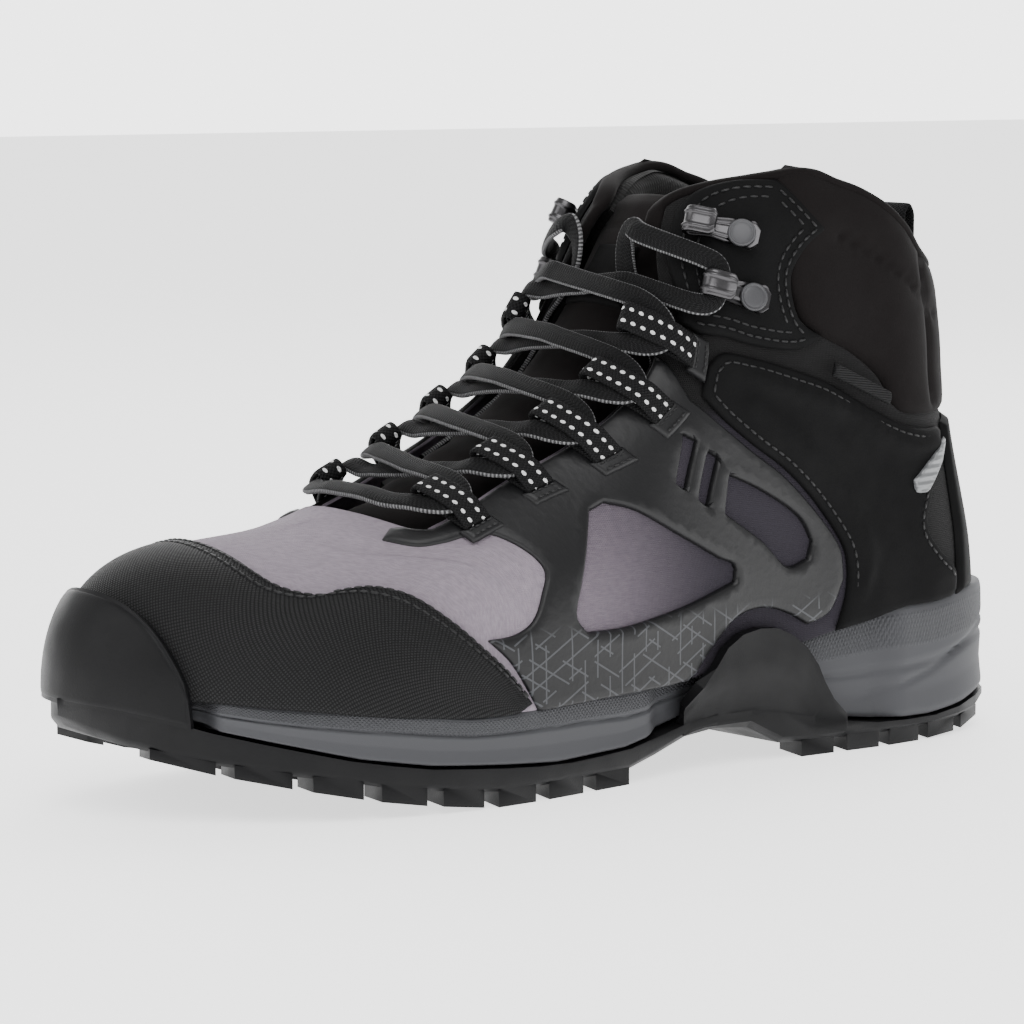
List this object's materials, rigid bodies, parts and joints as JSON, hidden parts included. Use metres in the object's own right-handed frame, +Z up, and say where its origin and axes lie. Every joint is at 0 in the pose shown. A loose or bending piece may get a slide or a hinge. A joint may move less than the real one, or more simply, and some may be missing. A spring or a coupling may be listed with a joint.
{
  "type": "hiking boot",
  "caption": "Mid-height laced hiking boot for the left foot: lugged rubber outsole, foam midsole, textile and film upper, padded collar, webbing lace loops and speed hooks",
  "frame": {"origin": "on the ground, at the middle of the box round the boot", "axes": "+X to the boot's outer (lateral) side, +Y to the heel, +Z up; the toe points to -Y"},
  "size_m": [0.1062, 0.308, 0.1685],
  "materials": {
    "outsole_rubber": "satin moulded",
    "midsole_foam": "matte moulded EVA foam",
    "shank_plate": "smooth",
    "insole_board": "pressed fibre board",
    "footbed_foam": "brushed cloth on foam",
    "ripstop_grey": "fine woven, mauve grey",
    "toe_cap_textile": "coated dotted micro-grid",
    "overlay_film": "satin welded film",
    "saddle_nubuck": "matte nubuck-like, black",
    "stiffener": "resin sheet",
    "lining_textile": "ribbed knit",
    "softshell": "brown-black softshell",
    "webbing": "woven webbing",
    "lace_cord": "braided",
    "hook_metal": "gunmetal",
    "rivet_metal": "satin grey",
    "reflector_silver": "silver reflective film",
    "tag_black": "satin woven",
    "aglet_plastic": "clear-coated black"
  },
  "bodies": {
    "boot": {"aglet_lateral": "aglet_plastic", "aglet_medial": "aglet_plastic", "ankle_collar": "softshell", "backstay": "saddle_nubuck", "collar_padding": "lining_textile", "cuff_panel_lateral": "saddle_nubuck", "cuff_panel_medial": "saddle_nubuck", "gusset_lateral": "softshell", "gusset_medial": "softshell", "heel_counter": "stiffener", "heel_saddle_lateral": "saddle_nubuck", "heel_saddle_medial": "saddle_nubuck", "hook_lateral_lower": "hook_metal", "hook_lateral_upper": "hook_metal", "hook_medial_lower": "hook_metal", "hook_medial_upper": "hook_metal", "insole_board": "insole_board", "lace": "lace_cord", "lace_loop_lateral_1": "webbing", "lace_loop_lateral_2": "webbing", "lace_loop_lateral_3": "webbing", "lace_loop_lateral_4": "webbing", "lace_loop_lateral_5": "webbing", "lace_loop_medial_1": "webbing", "lace_loop_medial_2": "webbing", "lace_loop_medial_3": "webbing", "lace_loop_medial_4": "webbing", "lace_loop_medial_5": "webbing", "lining_forefoot": "lining_textile", "lining_shaft": "lining_textile", "midsole": "midsole_foam", "outsole": "outsole_rubber", "overlay_lateral": "overlay_film", "overlay_medial": "overlay_film", "quarter_lateral": "ripstop_grey", "quarter_medial": "ripstop_grey", "reflector_lateral": "reflector_silver", "reflector_medial": "reflector_silver", "rivet_cap_lateral_lower": "rivet_metal", "rivet_cap_lateral_upper": "rivet_metal", "rivet_cap_medial_lower": "rivet_metal", "rivet_cap_medial_upper": "rivet_metal", "shank": "shank_plate", "side_tag": "tag_black", "toe_cap": "toe_cap_textile", "toe_puff": "stiffener", "vamp": "ripstop_grey"},
    "tongue": {"tongue_shell": "softshell", "tongue_padding": "lining_textile", "tongue_patch": "tag_black"},
    "footbed_body": {"footbed": "footbed_foam"},
    "pull_tab_body": {"pull_tab": "webbing"}
  },
  "joints": [
    {"name": "tongue_tilt", "type": "hinge", "parent": "boot", "child": "tongue", "pos_m": [-0.0006, -0.0639, 0.07204], "axis": [1, 0, 0], "range_deg": [-6, 0], "stiffness_Nm_per_rad": 0.4},
    {"name": "footbed_lift", "type": "hinge", "parent": "boot", "child": "footbed_body", "pos_m": [-0.00298, -0.134, 0.03455], "axis": [1, 0, 0], "range_deg": [0, 5]},
    {"name": "pull_tab_fold", "type": "hinge", "parent": "boot", "child": "pull_tab_body", "pos_m": [-0.00303, 0.12742, 0.1388], "axis": [1, 0, 0], "range_deg": [-25, 10], "stiffness_Nm_per_rad": 0.02}
  ]
}
